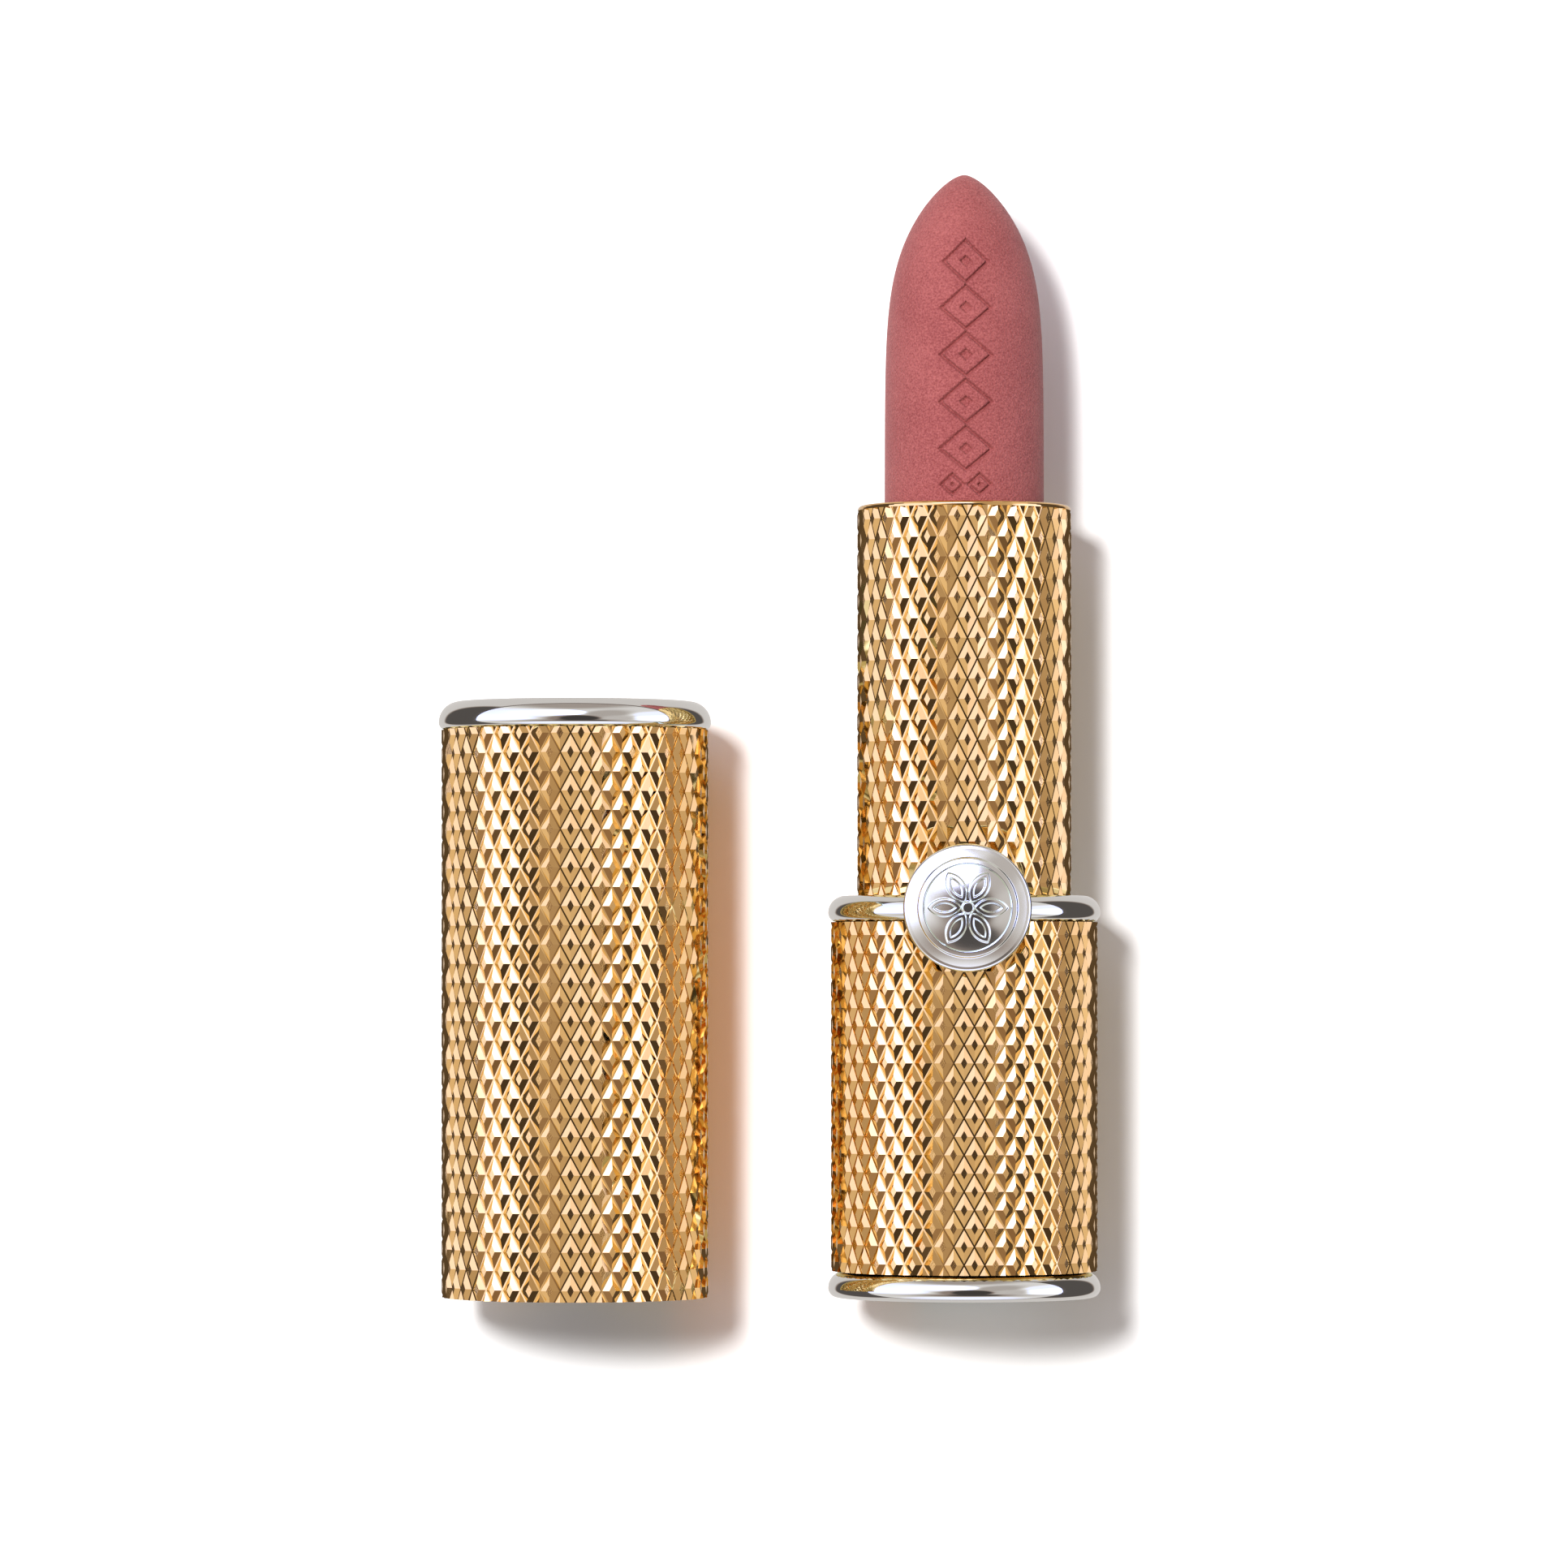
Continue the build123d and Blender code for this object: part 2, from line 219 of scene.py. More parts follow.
def shell_sleeve(gold):
    """The turning shell: diamonds above the collar, a plain skirt below and a plain turned-in lip."""
    skirt = shell_radius - relief_depth
    skirt_top = collar_top - 1.0 * MM
    lip_low = shell_top - 0.36 * MM
    lip_round = 0.30 * MM
    lip_radius = shell_radius - 0.05 * MM
    bm = diamond_field(shell_radius, skirt_top, lip_low, 33, 3.055 * MM, 0.134, math.radians(0.4))
    ring = moved_ring(bm, boundary_ring(bm, lip_low), lip_radius, lip_low)
    for radius, height in arc((lip_radius - lip_round, shell_top - lip_round), lip_round, 0, 90, 8):
        ring = moved_ring(bm, ring, radius, height)
    for radius, height in (
        (lip_bore + edge_break, shell_top), (lip_bore, shell_top - edge_break),
        (lip_bore, shell_top - lip_thickness), (shell_bore, shell_top - lip_thickness),
    ):
        ring = moved_ring(bm, ring, radius, height)
    inner = ring
    ring = moved_ring(bm, boundary_ring(bm, skirt_top), skirt, skirt_top)
    for radius, height in ((skirt, shell_low), (shell_bore, shell_low)):
        ring = moved_ring(bm, ring, radius, height)
    bmesh.ops.bridge_loops(bm, edges=inner + ring)
    return finished("shell_relief", bm, gold, "shell", "upper_sleeve", facet_crease)


# ------------------------------------------------------------------------------ plated pieces

def plate_rim(low, high, upper):
    """Outline of a plated rim, upwards: its upper rounding has the radius given, and its lower one takes
    up the rest of the height."""
    lower = high - low - upper
    return (
        arc((disc_radius - lower, low + lower), lower, -90, 0, 12)
        + arc((disc_radius - upper, high - upper), upper, 0, 90, 16)[1:]
    )


def foot_disc(chrome):
    recess = 7.7 * MM
    recess_depth = 0.1 * MM
    recess_edge = 0.02 * MM
    flat_radius = 9.3 * MM
    spigot = turned_box("base_liner")[2]
    outline = [
        (0, recess_depth), (recess - recess_edge, recess_depth), (recess, recess_depth - recess_edge),
        (recess, recess_edge), (recess + recess_edge, 0), (flat_radius, 0),
    ]
    outline += plate_rim(foot_low, sleeve_low, 1.3 * MM)
    outline += [
        (spigot, sleeve_low), (spigot, sleeve_low + spigot_length),
        (spigot_bore, sleeve_low + spigot_length), (spigot_bore, sleeve_low), (0, sleeve_low),
    ]
    return finished("foot_plate", spun(outline), chrome, "base", "base_disc", plate_crease)


def cap_plate(chrome):
    flat_radius = 8.8 * MM
    spigot = turned_box("cap_liner")[2]
    spigot_end = cap_sleeve_top - spigot_length
    outline = [
        (0, cap_sleeve_top), (spigot_bore, cap_sleeve_top), (spigot_bore, spigot_end),
        (spigot, spigot_end), (spigot, cap_sleeve_top),
    ]
    outline += plate_rim(cap_sleeve_top, cap_top, 1.6 * MM)
    outline += [(flat_radius, cap_top), (0, cap_top)]
    return finished(
        "cap_plate", spun(outline), chrome, "cap", "cap_disc", plate_crease, cap_axis
    )


def collar(chrome):
    bore = 8.27 * MM
    magnet_pocket = 8.87 * MM
    spigot = 9.5 * MM
    magnet_cover = 0.8 * MM
    spigot_end = sleeve_top - spigot_length
    outline = [
        (magnet_pocket, collar_top - magnet_cover), (magnet_pocket, spigot_end), (spigot, spigot_end),
        (spigot, sleeve_top),
    ]
    outline += plate_rim(sleeve_top, collar_top, 1.3 * MM)
    outline += [
        (bore + edge_break, collar_top), (bore, collar_top - edge_break), (bore, collar_top - magnet_cover)
    ]
    return finished("collar_band", spun(outline), chrome, "base", "collar_ring", plate_crease)


def petal_edge(x, y):
    """Signed distance to the nearest petal of a six-petalled rosette: negative inside a petal."""
    half_length, bulge = 1.28 * MM, 1.52 * MM
    middle = 1.74 * MM
    sector = FULL_TURN / 6
    angle = (math.atan2(y, x) + sector / 2) % sector - sector / 2
    radius = math.hypot(x, y)
    along = radius * math.cos(angle) - middle
    across = abs(radius * math.sin(angle))
    return math.hypot(along, across + (bulge**2 - half_length**2) ** 0.5) - bulge


def ease(t):
    t = min(max(t, 0.0), 1.0)
    return t * t * (3 - 2 * t)


def ridge(distance, width, slope):
    """1 on a flat-topped ridge of one width centred on distance 0, easing to 0 over the slope."""
    return ease((width / 2 + slope - abs(distance)) / slope)


def badge_height(x, y):
    """Height of the badge's relief above its plain domed face."""
    radius = math.hypot(x, y)
    border = ridge(radius - 3.50 * MM, 0.34 * MM, 0.11 * MM)
    petals = ridge(petal_edge(x, y) + 0.20 * MM, 0.22 * MM, 0.11 * MM)
    boss = ease((0.50 * MM - radius) / (0.14 * MM))
    return badge_relief * max(border, petals, boss)


def badge(nickel):
    """Round badge with a raised rosette inside a ring, standing on the front of the collar."""
    crown = 1.15 * MM
    thickness = 1.6 * MM
    rim_round = 0.35 * MM
    back_round = 0.15 * MM
    edge = thickness - crown
    dome_crown = crown - badge_relief
    face_radius = badge_radius - rim_round
    dome = (face_radius**2 + dome_crown**2) / (2 * dome_crown)
    rings = 116
    outline = [(0, 0), (badge_radius - back_round, 0)]
    outline += arc((badge_radius - back_round, back_round), back_round, -90, 0, 4)[1:]
    outline += arc((badge_radius - rim_round, edge - rim_round), rim_round, 0, 66, 14)
    for k in range(rings, -1, -1):
        radius = face_radius * k / rings
        outline.append((radius, edge + dome_crown - dome + (dome**2 - radius**2) ** 0.5))
    bm = spun(outline, steps=360)
    for vert in bm.verts:
        if vert.co.z > edge - 0.02 * MM:
            vert.co.z += badge_height(vert.co.x, vert.co.y)
    bmesh.ops.recalc_face_normals(bm, faces=bm.faces)
    bmesh.ops.translate(bm, vec=(0, 0, badge_front - thickness), verts=bm.verts)
    bmesh.ops.rotate(bm, cent=(0, 0, 0), matrix=Matrix.Rotation(math.pi / 2, 3, "X"), verts=bm.verts)
    bmesh.ops.translate(bm, vec=(0, 0, badge_middle), verts=bm.verts)
    return finished("badge_rosette", bm, nickel, "base", "medallion", badge_crease)


# ------------------------------------------------------------------------------------- bullet

def lozenge_groove(x, along, centre, half_width, half_length):
    """1 in the groove round one lozenge and in its small middle diamond, 0 elsewhere."""
    slope_length = math.hypot(half_width, half_length)
    reach = abs(x) / half_width + abs(along - centre) / half_length
    distance = (reach - 1) * half_width * half_length / slope_length
    middle = (reach - 0.30) * half_width * half_length / slope_length
    line = ridge(distance, 0.13 * MM, 0.08 * MM)
    return max(line, ease(-middle / (0.09 * MM)))


def bullet_groove(x, along):
    """Depth share of the engraved column on the front of the bullet."""
    depth = 0.0
    for k in range(5):
        centre = bullet_tip - (7.0 + 3.55 * k) * MM
        depth = max(depth, lozenge_groove(x, along, centre, 2.0 * MM, 1.62 * MM))
    for side in (-1, 1):
        centre = bullet_tip - 23.9 * MM
        depth = max(depth, lozenge_groove(x + side * 1.05 * MM, along, centre, 0.85 * MM, 0.75 * MM))
    return depth


def ogive_radius(drop):
    """Radius of the bullet at a distance below its tip: blunt at the tip, then full and straight."""
    return bullet_radius * math.tanh((drop / (7.29 * MM)) ** 1.165) ** 0.534


def wax_bullet(wax):
    """The wax bullet, turned fine on its engraved front and coarser behind."""
    fine_length = 25.6 * MM
    engraved_depth = 0.30 * MM
    heights = []
    drop = 0.0
    while drop < fine_length:
        heights.append(drop)
        drop += max(0.01 * MM, min(0.075 * MM, 0.004 * MM + drop * 0.12))
    outline = [(ogive_radius(d), bullet_tip - d) for d in heights]
    outline[0] = (0.0, bullet_tip)
    outline += [(bullet_radius, bullet_foot), (0.0, bullet_foot)]
    bm = bmesh.new()
    verts = [bm.verts.new((0, -radius, height)) for radius, height in outline]
    edges = [bm.edges.new(pair) for pair in zip(verts, verts[1:])]
    front = math.radians(50)
    bmesh.ops.rotate(bm, cent=(0, 0, 0), matrix=Matrix.Rotation(-front / 2, 3, "Z"), verts=verts)
    last = bmesh.ops.spin(
        bm, geom=verts + edges, cent=(0, 0, 0), axis=(0, 0, 1), angle=front, steps=76
    )["geom_last"]
    bmesh.ops.spin(
        bm, geom=last, cent=(0, 0, 0), axis=(0, 0, 1), angle=FULL_TURN - front, steps=70
    )
    bmesh.ops.remove_doubles(bm, verts=bm.verts, dist=0.001 * MM)
    for vert in bm.verts:
        if vert.co.y < -bullet_radius / 2:
            around = Vector((vert.co.x, vert.co.y, 0))
            across = bullet_radius * math.atan2(vert.co.x, -vert.co.y)
            sunk = engraved_depth * bullet_groove(across, vert.co.z)
            vert.co -= around.normalized() * sunk
    return finished("wax_bullet", bm, wax, "carrier", "bullet", wax_crease)


# ----------------------------------------------------------------------------------- materials

def linear(hex_colour):
    """Linear RGBA from an sRGB hex colour."""
    channels = [int(hex_colour[k : k + 2], 16) / 255 for k in (1, 3, 5)]
    return (*[c / 12.92 if c <= 0.04045 else ((c + 0.055) / 1.055) ** 2.4 for c in channels], 1.0)


def add_node(material, kind, settings=None, **inputs):
    """Adds a node.  settings are its properties, and inputs its sockets: a value or a node's output."""
    tree = material.node_tree
    node = tree.nodes.new(kind)
    for key, value in (settings or {}).items():
        setattr(node, key, value)
    for key, value in inputs.items():
        socket = node.inputs[int(key[1:])] if key[0] == "_" else node.inputs[key.replace("_", " ")]
        if isinstance(value, bpy.types.NodeSocket):
            tree.links.new(value, socket)
        else:
            socket.default_value = value
    return node


def new_material(name):
    material = bpy.data.materials.new(name)
    material.use_nodes = True
    return material, material.node_tree.nodes["Principled BSDF"]


def object_place(material, centre=(0, 0, 0)):
    """Object coordinates measured from a point."""
    coordinates = add_node(material, "ShaderNodeTexCoord").outputs["Object"]
    shift = tuple(-c for c in centre)
    return add_node(material, "ShaderNodeMapping", Vector=coordinates, Location=shift).outputs["Vector"]


def gold_anodised_aluminium(name, crest, centre_x=0.0):
    """Bright-dipped, gold-anodised aluminium: the cut facets are mirrors with faint tool lines, and
    the flat tops keep the sandy grain of the tube."""
    material, shader = new_material(name)
    link = material.node_tree.links.new
    place = object_place(material, (centre_x, 0, 0))
    shader.inputs["Metallic"].default_value = 1.0
    axes = add_node(material, "ShaderNodeSeparateXYZ", Vector=place).outputs
    across = add_node(
        material, "ShaderNodeMath", {"operation": "MULTIPLY"}, _0=axes[0], _1=axes[0]
    ).outputs[0]
    square = add_node(
        material, "ShaderNodeMath", {"operation": "MULTIPLY_ADD"}, _0=axes[2], _1=axes[2], _2=across
    ).outputs[0]
    radius = add_node(material, "ShaderNodeMath", {"operation": "SQRT"}, _0=square).outputs[0]
    on_top = add_node(
        material, "ShaderNodeMath", {"operation": "GREATER_THAN"}, _0=radius, _1=crest - 0.018 * MM
    ).outputs[0]
    grain = add_node(material, "ShaderNodeTexNoise", Vector=place, Scale=9000.0, Detail=2.0).outputs["Fac"]
    scratches_place = add_node(
        material, "ShaderNodeMapping", Vector=place, Scale=(1.0, 0.2, 1.0), Rotation=(0, 0, 0.5)
    ).outputs["Vector"]
    scratches = add_node(
        material, "ShaderNodeTexNoise", Vector=scratches_place, Scale=6000.0, Detail=1.0
    ).outputs["Fac"]
    tint = add_node(material, "ShaderNodeTexNoise", Vector=place, Scale=260.0, Detail=2.0).outputs["Fac"]
    ramp = add_node(material, "ShaderNodeValToRGB", Fac=tint)
    ramp.color_ramp.elements[0].position = 0.35
    ramp.color_ramp.elements[0].color = linear("#F2C17C")
    ramp.color_ramp.elements[1].position = 0.65
    ramp.color_ramp.elements[1].color = linear("#F6C784")
    link(ramp.outputs["Color"], shader.inputs["Base Color"])
    rough = add_node(
        material, "ShaderNodeMapRange", Value=on_top, To_Min=0.04, To_Max=0.16
    ).outputs["Result"]
    link(rough, shader.inputs["Roughness"])
    top_bump = add_node(
        material, "ShaderNodeMath", {"operation": "MULTIPLY"}, _0=grain, _1=on_top
    ).outputs[0]
    tops = add_node(
        material, "ShaderNodeBump", Strength=0.5, Distance=0.02 * MM, Height=top_bump
    ).outputs[0]
    facets = add_node(
        material, "ShaderNodeBump", Strength=0.02, Distance=0.01 * MM, Height=scratches, Normal=tops
    ).outputs[0]
    link(facets, shader.inputs["Normal"])
    return material


def chrome_plate():
    """Polished nickel-chrome plating: a cool mirror with only a faint orange-peel ripple."""
    material, shader = new_material("chrome_plate")
    place = object_place(material)
    shader.inputs["Base Color"].default_value = linear("#E7E6E4")
    shader.inputs["Metallic"].default_value = 1.0
    haze = add_node(material, "ShaderNodeTexNoise", Vector=place, Scale=400.0, Detail=3.0).outputs["Fac"]
    rough = add_node(material, "ShaderNodeMapRange", Value=haze, To_Min=0.03, To_Max=0.07).outputs["Result"]
    material.node_tree.links.new(rough, shader.inputs["Roughness"])
    ripple = add_node(material, "ShaderNodeTexNoise", Vector=place, Scale=700.0).outputs["Fac"]
    bump = add_node(material, "ShaderNodeBump", Strength=0.05, Distance=0.01 * MM, Height=ripple).outputs[0]
    material.node_tree.links.new(bump, shader.inputs["Normal"])
    return material


def satin_nickel():
    """Blasted and lightly polished nickel of the badge: it spreads its reflections softly."""
    material, shader = new_material("satin_nickel")
    place = object_place(material)
    shader.inputs["Base Color"].default_value = linear("#F4F3F1")
    shader.inputs["Metallic"].default_value = 1.0
    haze = add_node(material, "ShaderNodeTexNoise", Vector=place, Scale=700.0, Detail=3.0).outputs["Fac"]
    rough = add_node(material, "ShaderNodeMapRange", Value=haze, To_Min=0.13, To_Max=0.18).outputs["Result"]
    material.node_tree.links.new(rough, shader.inputs["Roughness"])
    return material


def lipstick_wax():
    """Matt pigmented wax from a satin mould: a powdery dusty rose with a soft sheen and fine pores."""
    material, shader = new_material("lipstick_wax")
    link = material.node_tree.links.new
    place = object_place(material)
    cloud = add_node(material, "ShaderNodeTexNoise", Vector=place, Scale=220.0, Detail=5.0).outputs["Fac"]
    powder = add_node(material, "ShaderNodeTexNoise", Vector=place, Scale=7000.0, Detail=1.0).outputs["Fac"]
    mottle = add_node(
        material, "ShaderNodeMix", {"data_type": "FLOAT"}, _0=0.75, _2=cloud, _3=powder
    ).outputs[0]
    ramp = add_node(material, "ShaderNodeValToRGB", Fac=mottle)
    ramp.color_ramp.elements[0].position = 0.34
    ramp.color_ramp.elements[0].color = linear("#7F3A3A")
    ramp.color_ramp.elements[1].position = 0.66
    ramp.color_ramp.elements[1].color = linear("#A15856")
    link(ramp.outputs["Color"], shader.inputs["Base Color"])
    shader.inputs["Roughness"].default_value = 0.55
    shader.inputs["IOR"].default_value = 1.44
    shader.inputs["Sheen Weight"].default_value = 0.15
    shader.inputs["Sheen Roughness"].default_value = 0.4
    shader.inputs["Sheen Tint"].default_value = linear("#F0B5B0")
    grain = add_node(material, "ShaderNodeTexNoise", Vector=place, Scale=6500.0, Detail=3.0).outputs["Fac"]
    dents = add_node(material, "ShaderNodeTexNoise", Vector=place, Scale=900.0, Detail=3.0).outputs["Fac"]
    coarse = add_node(material, "ShaderNodeBump", Strength=0.3, Distance=0.08 * MM, Height=dents).outputs[0]
    fine = add_node(
        material, "ShaderNodeBump", Strength=1.0, Distance=0.11 * MM, Height=grain, Normal=coarse
    ).outputs[0]
    link(fine, shader.inputs["Normal"])
    return material


def moulded_plastic(name, colour, roughness):
    """Injection-moulded plastic with the fine matt texture of its mould."""
    material, shader = new_material(name)
    place = object_place(material)
    speck = add_node(material, "ShaderNodeTexNoise", Vector=place, Scale=2500.0, Detail=2.0).outputs["Fac"]
    shader.inputs["Base Color"].default_value = linear(colour)
    shader.inputs["IOR"].default_value = 1.5
    rough = add_node(
        material, "ShaderNodeMapRange", Value=speck, To_Min=roughness - 0.06, To_Max=roughness + 0.06
    ).outputs["Result"]
    material.node_tree.links.new(rough, shader.inputs["Roughness"])
    bump = add_node(material, "ShaderNodeBump", Strength=0.2, Distance=0.01 * MM, Height=speck).outputs[0]
    material.node_tree.links.new(bump, shader.inputs["Normal"])
    return material


def turned_steel(name, colour, roughness):
    """Lathe-turned steel: fine concentric tool lines across the axis."""
    material, shader = new_material(name)
    place = object_place(material)
    shader.inputs["Base Color"].default_value = linear(colour)
    shader.inputs["Metallic"].default_value = 1.0
    lines_place = add_node(
        material, "ShaderNodeMapping", Vector=place, Scale=(0.05, 1.0, 0.05)
    ).outputs["Vector"]
    lines = add_node(
        material, "ShaderNodeTexNoise", Vector=lines_place, Scale=9000.0, Detail=2.0
    ).outputs["Fac"]
    rough = add_node(
        material, "ShaderNodeMapRange", Value=lines, To_Min=roughness - 0.08, To_Max=roughness + 0.08
    ).outputs["Result"]
    material.node_tree.links.new(rough, shader.inputs["Roughness"])
    bump = add_node(material, "ShaderNodeBump", Strength=0.2, Distance=0.01 * MM, Height=lines).outputs[0]
    material.node_tree.links.new(bump, shader.inputs["Normal"])
    return material


def label_paper():
    """Satin-coated label stock with a faint fibre mottle."""
    material, shader = new_material("label_paper")
    place = object_place(material)
    fibre = add_node(material, "ShaderNodeTexNoise", Vector=place, Scale=1800.0, Detail=4.0).outputs["Fac"]
    ramp = add_node(material, "ShaderNodeValToRGB", Fac=fibre)
    ramp.color_ramp.elements[0].color = linear("#DCD6CC")
    ramp.color_ramp.elements[1].color = linear("#EFEBE3")
    material.node_tree.links.new(ramp.outputs["Color"], shader.inputs["Base Color"])
    shader.inputs["Roughness"].default_value = 0.5
    return material


# --------------------------------------------------------------------------- build the pieces

gold_base = gold_anodised_aluminium("gold_anodised_base", sleeve_radius)
gold_cap = gold_anodised_aluminium("gold_anodised_cap", sleeve_radius, cap_axis)
gold_shell = gold_anodised_aluminium("gold_anodised_shell", shell_radius)
chrome = chrome_plate()
wax = lipstick_wax()

relief_sleeve("base_relief", sleeve_low, sleeve_top, 2.746 * MM, -0.217, math.radians(-1.4),
              gold_base, "base", "base_sleeve")
relief_sleeve("cap_relief", cap_low, cap_sleeve_top, 2.879 * MM, 0.295, math.radians(-0.3),
              gold_cap, "cap", "cap_sleeve", cap_axis)
shell_sleeve(gold_shell)
foot_disc(chrome)
cap_plate(chrome)
collar(chrome)
badge(satin_nickel())
wax_bullet(wax)

node_materials = {
    "base_liner": moulded_plastic("abs_black", "#232324", 0.42),
    "guide_tube": moulded_plastic("acetal_ivory", "#E4DFD2", 0.38),
    "carrier_cup": moulded_plastic("san_gold_cup", "#C79A5C", 0.25),
    "base_weight": turned_steel("zinc_plated_steel", "#9FA2A4", 0.35),
    "closure_magnet": turned_steel("nickel_plated_magnet", "#BDBBB6", 0.25),
    "drag_ring": moulded_plastic("silicone_clear", "#CFCFC9", 0.45),
    "shade_label": label_paper(),
}
node_materials["cap_liner"] = node_materials["base_liner"]
node_materials["spiral_sleeve"] = node_materials["guide_tube"]
node_materials["cap_weight"] = node_materials["base_weight"]
node_materials["catch_ring"] = node_materials["base_weight"]
for node, material in node_materials.items():
    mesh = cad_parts[node].data
    mesh.materials.clear()
    mesh.materials.append(material)


# ------------------------------------------------------------------------ floor, lights, camera

def stage_floor():
    """A pale table top that the plated rims rest on."""
    bm = bmesh.new()
    bmesh.ops.create_grid(bm, x_segments=2, y_segments=2, size=1.5)
    bmesh.ops.translate(bm, vec=(cap_axis / 2, bullet_tip / 2, -disc_radius - 0.02 * MM), verts=bm.verts)
    mesh = bpy.data.meshes.new("floor")
    bm.to_mesh(mesh)
    bm.free()
    material, shader = new_material("floor_white")
    shader.inputs["Base Color"].default_value = linear("#F4F4F4")
    shader.inputs["Roughness"].default_value = 0.9
    shader.inputs["Specular IOR Level"].default_value = 0.0
    mesh.materials.append(material)
    floor = bpy.data.objects.new("floor", mesh)
    bpy.context.collection.objects.link(floor)
    floor.visible_glossy = False


def soft_panel(name, direction, distance, size, power, colour="#FFFFFF"):
    """A square soft light that faces the middle of the object from a direction."""
    light = bpy.data.lights.new(name, "AREA")
    light.shape = "SQUARE"
    light.size = size
    light.energy = power
    light.color = linear(colour)[:3]
    lamp = bpy.data.objects.new(name, light)
    towards = Vector(direction).normalized()
    lamp.location = Vector((cap_axis / 2, bullet_tip / 2, 0)) + towards * distance
    lamp.rotation_euler = towards.to_track_quat("Z", "Y").to_euler()
    lamp.visible_camera = False
    bpy.context.collection.objects.link(lamp)
    return lamp


def soft_patch(world, direction, centre, radii, edge):
    """1 inside an ellipse of the sky, as seen from below in the (x, y) plane, easing to 0 over its edge."""
    placed = add_node(
        world, "ShaderNodeMapping", Vector=direction,
        Location=(-centre[0] / radii[0], -centre[1] / radii[1], 0), Scale=(1 / radii[0], 1 / radii[1], 0),
    ).outputs["Vector"]
    reach = add_node(world, "ShaderNodeVectorMath", {"operation": "LENGTH"}, _0=placed).outputs["Value"]
    return add_node(
        world, "ShaderNodeMapRange", {"interpolation_type": "SMOOTHSTEP"},
        Value=reach, From_Min=1 + edge, From_Max=1 - edge,
    ).outputs["Result"]


def painted_sky(world, direction, level, patches):
    """Paints patches of (centre, radii, edge, brightness) over a sky, the later ones over the earlier."""
    for centre, radii, edge, brightness in patches:
        patch = soft_patch(world, direction, centre, radii, edge)
        level = add_node(
            world, "ShaderNodeMix", {"data_type": "FLOAT"}, _0=patch, _2=level, _3=brightness
        ).outputs[0]
    return level


def sky_above(world, direction):
    """Pale walls, a bright panel above the far left and a grey gap beside it, bright strips at both
    sides, and a dark gap overhead and towards the near end, where the camera and its stand are."""
    return painted_sky(world, direction, 0.82, (
        ((-0.82, 0.12), (0.27, 0.34), 0.50, 1.45),
        ((0.92, 0.00), (0.15, 0.36), 0.30, 1.70),
        ((0.85, 0.42), (0.14, 0.16), 0.50, 1.15),
        ((0.00, 1.00), (0.70, 0.18), 0.50, 0.42),
        ((-0.45, 0.50), (0.42, 0.26), 0.40, 1.35),
        ((-0.18, 0.54), (0.32, 0.20), 0.30, 3.20),
        ((0.44, 0.44), (0.27, 0.30), 0.30, 0.50),
        ((0.00, -0.80), (0.55, 0.20), 0.40, 1.20),
        ((0.62, 0.00), (0.20, 0.30), 0.40, 0.62),
        ((0.02, -0.45), (0.66, 0.26), 0.50, 0.27),
        ((0.00, 0.00), (0.42, 0.34), 0.25, 0.30),
        ((0.09, 0.00), (0.30, 0.31), 0.16, 0.06),
        ((0.11, -0.40), (0.37, 0.18), 0.12, 0.07),
    ))


def table_below(world, axes):
    """What mirrors see of the table: pale underneath the object, dark at both sides and dark all round
    in a thin line at the horizon."""
    aside = add_node(world, "ShaderNodeMath", {"operation": "ABSOLUTE"}, _0=axes[0]).outputs[0]
    top = add_node(
        world, "ShaderNodeMapRange", {"interpolation_type": "SMOOTHSTEP"},
        Value=aside, From_Min=0.56, From_Max=0.66, To_Min=0.70, To_Max=0.10,
    ).outputs["Result"]
    return add_node(
        world, "ShaderNodeMapRange", {"interpolation_type": "SMOOTHSTEP"},
        Value=axes[2], From_Min=-0.12, From_Max=-0.03, To_Max=0.12, To_Min=top,
    ).outputs["Result"]


def brightness_tint(world, level):
    """Warm where the studio is dark, neutral in its middle tones and cool where it is brightest."""
    share = add_node(world, "ShaderNodeMath", {"operation": "MULTIPLY"}, _0=level, _1=0.5).outputs[0]
    tint = add_node(world, "ShaderNodeValToRGB", Fac=share)
    stops = tint.color_ramp.elements
    stops[0].color = (1.0, 0.88, 0.80, 1.0)
    stops[1].color = (0.93, 1.04, 1.80, 1.0)
    for position, colour in (
        (0.05, (1.0, 0.90, 0.84, 1.0)), (0.12, (1.0, 0.77, 0.65, 1.0)), (0.26, (1.0, 0.93, 0.87, 1.0)),
        (0.48, (1.0, 1.0, 1.0, 1.0)), (0.62, (0.95, 1.03, 1.60, 1.0)),
    ):
        stops.new(position).color = colour
    return tint.outputs["Color"]


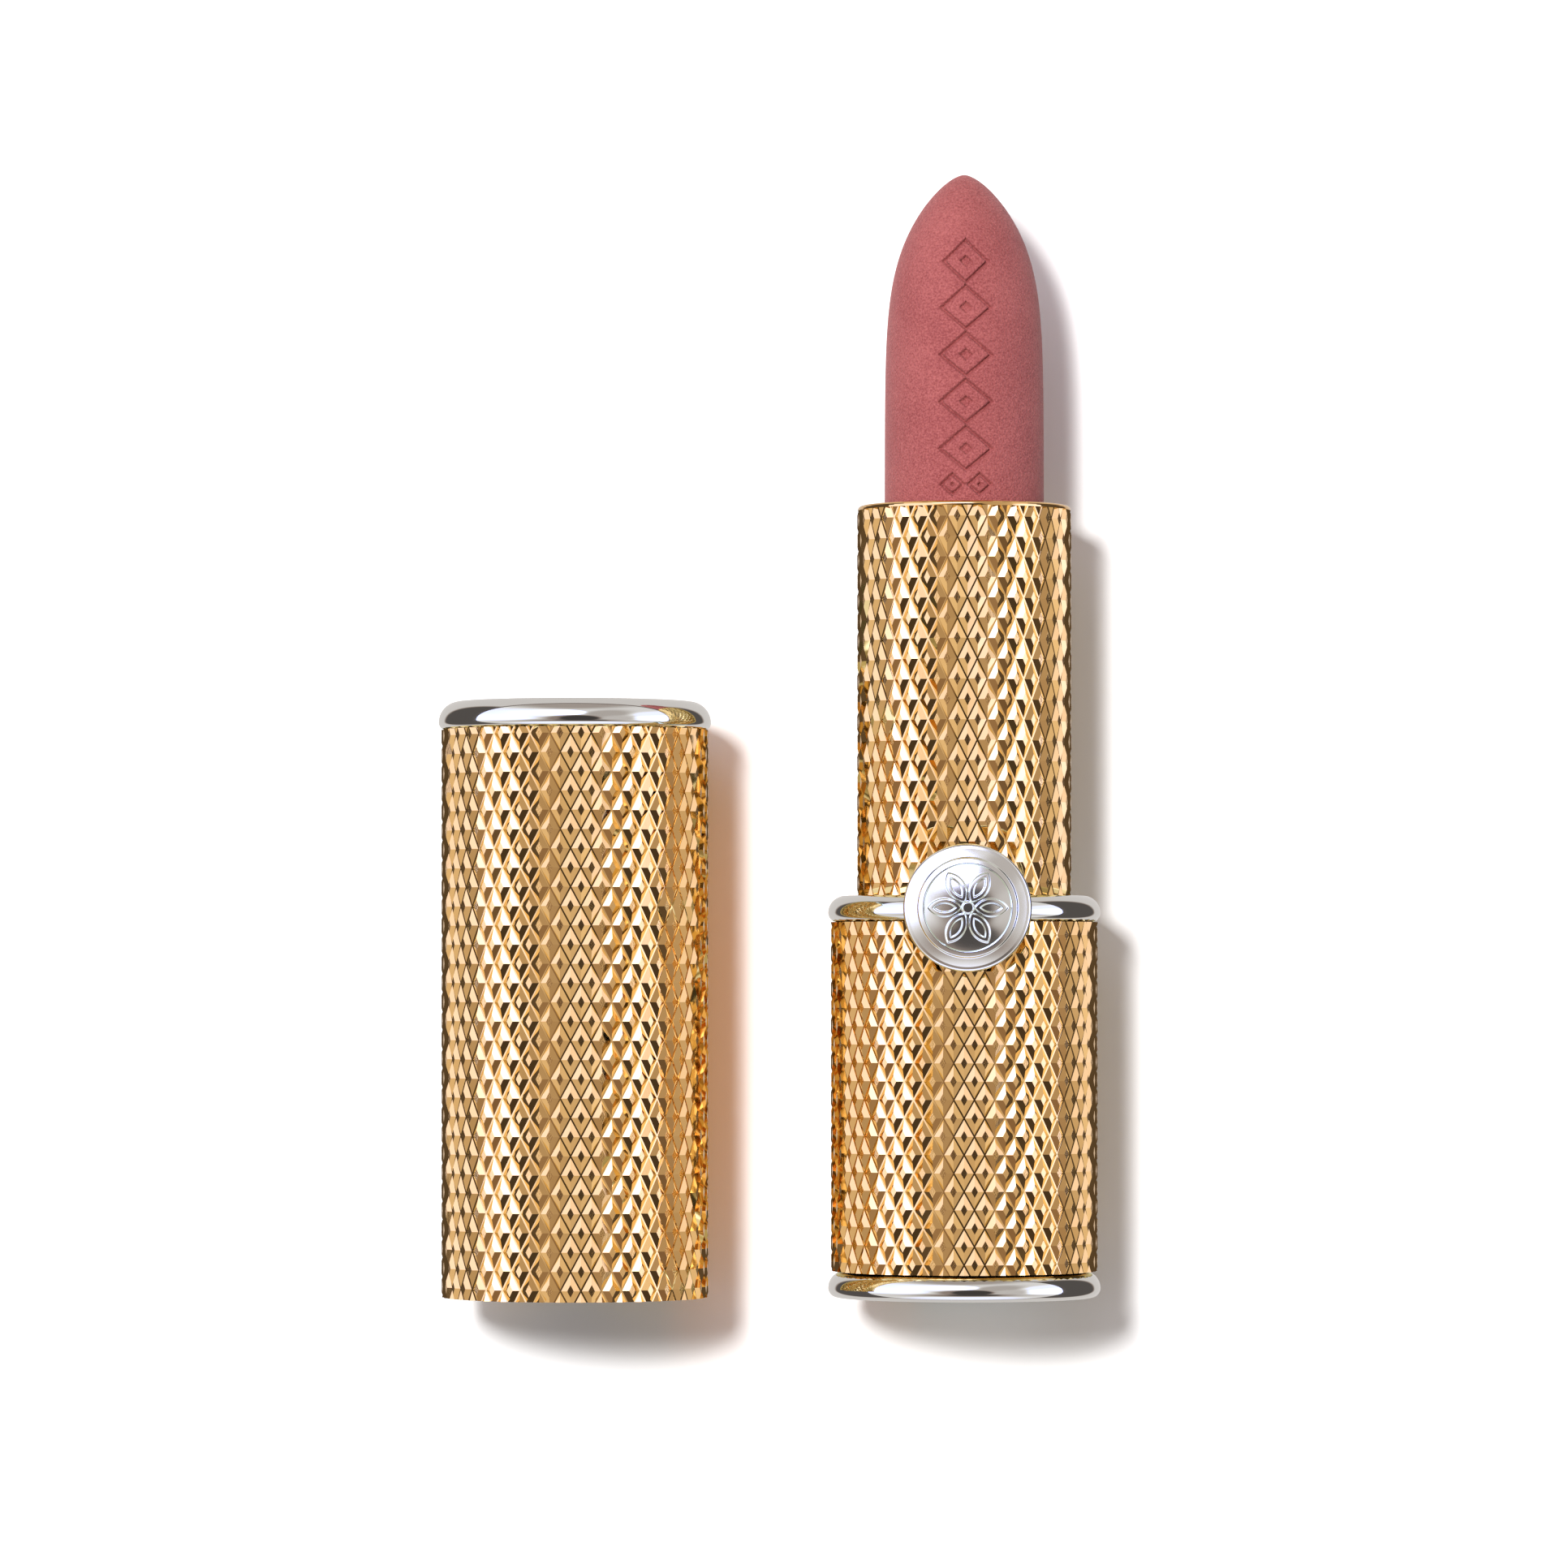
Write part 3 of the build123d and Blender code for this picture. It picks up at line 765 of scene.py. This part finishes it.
def studio_world():
    """The studio round the object.  Matt surfaces are lit by it more dimly and more warmly than mirrors
    see it, and a reflection of a reflection sees it slightly golden."""
    world = bpy.data.worlds.new("studio")
    bpy.context.scene.world = world
    world.use_nodes = True
    background = world.node_tree.nodes["Background"]
    direction = add_node(world, "ShaderNodeTexCoord").outputs["Generated"]
    axes = add_node(world, "ShaderNodeSeparateXYZ", Vector=direction).outputs
    above = add_node(
        world, "ShaderNodeMath", {"operation": "GREATER_THAN"}, _0=axes[2], _1=-0.01
    ).outputs[0]
    level = add_node(
        world, "ShaderNodeMix", {"data_type": "FLOAT"},
        _0=above, _2=table_below(world, axes), _3=sky_above(world, direction),
    ).outputs[0]
    path = add_node(world, "ShaderNodeLightPath").outputs
    again = add_node(
        world, "ShaderNodeMath", {"operation": "GREATER_THAN"}, _0=path["Ray Depth"], _1=2.5
    ).outputs[0]
    golden = add_node(
        world, "ShaderNodeMix", {"data_type": "RGBA", "blend_type": "MULTIPLY"},
        _0=again, _6=brightness_tint(world, level), _7=(0.86, 1.0, 0.80, 1.0),
    ).outputs[2]
    matt = path["Is Diffuse Ray"]
    dimming = add_node(
        world, "ShaderNodeMapRange", Value=matt, To_Min=1.0, To_Max=0.60
    ).outputs["Result"]
    strength = add_node(
        world, "ShaderNodeMath", {"operation": "MULTIPLY"}, _0=level, _1=dimming
    ).outputs[0]
    warm = add_node(
        world, "ShaderNodeMix", {"data_type": "RGBA"}, _0=matt, _6=golden, _7=(1.0, 0.88, 0.75, 1.0)
    ).outputs[2]
    world.node_tree.links.new(strength, background.inputs["Strength"])
    world.node_tree.links.new(warm, background.inputs["Color"])


def gold_bounce():
    """A slim warm lamp over the floor on the cap's shadow side, for the light that the gold throws."""
    lamp = soft_panel("gold_bounce", (0.0, 0.0, 1.0), 0.002, 0.003, 0.0012, "#FF9040")
    lamp.data.shape = "RECTANGLE"
    lamp.data.size_y = cap_sleeve_top - cap_low
    lamp.location.x = cap_axis + sleeve_radius + 0.5 * MM
    lamp.location.y = (cap_low + cap_sleeve_top) / 2
    lamp.visible_glossy = False


stage_floor()
studio_world()
key = soft_panel("key_panel", (-0.255, 0.21, 1.0), 0.8, 0.13, 8.0)
key.visible_glossy = False
gold_bounce()

camera_data = bpy.data.cameras.new("camera")
camera = bpy.data.objects.new("camera", camera_data)
bpy.context.collection.objects.link(camera)
camera_distance = 0.580
frame_width = 0.1192
camera_data.sensor_width = 36.0
camera_data.lens = 36.0 * camera_distance / frame_width
camera_data.clip_start = 0.01
camera.location = (-13.7 * MM, 24.6 * MM, camera_distance)
camera_data.shift_y = 14.4 * MM / frame_width
bpy.context.scene.camera = camera
bpy.context.scene.view_settings.view_transform = "Standard"
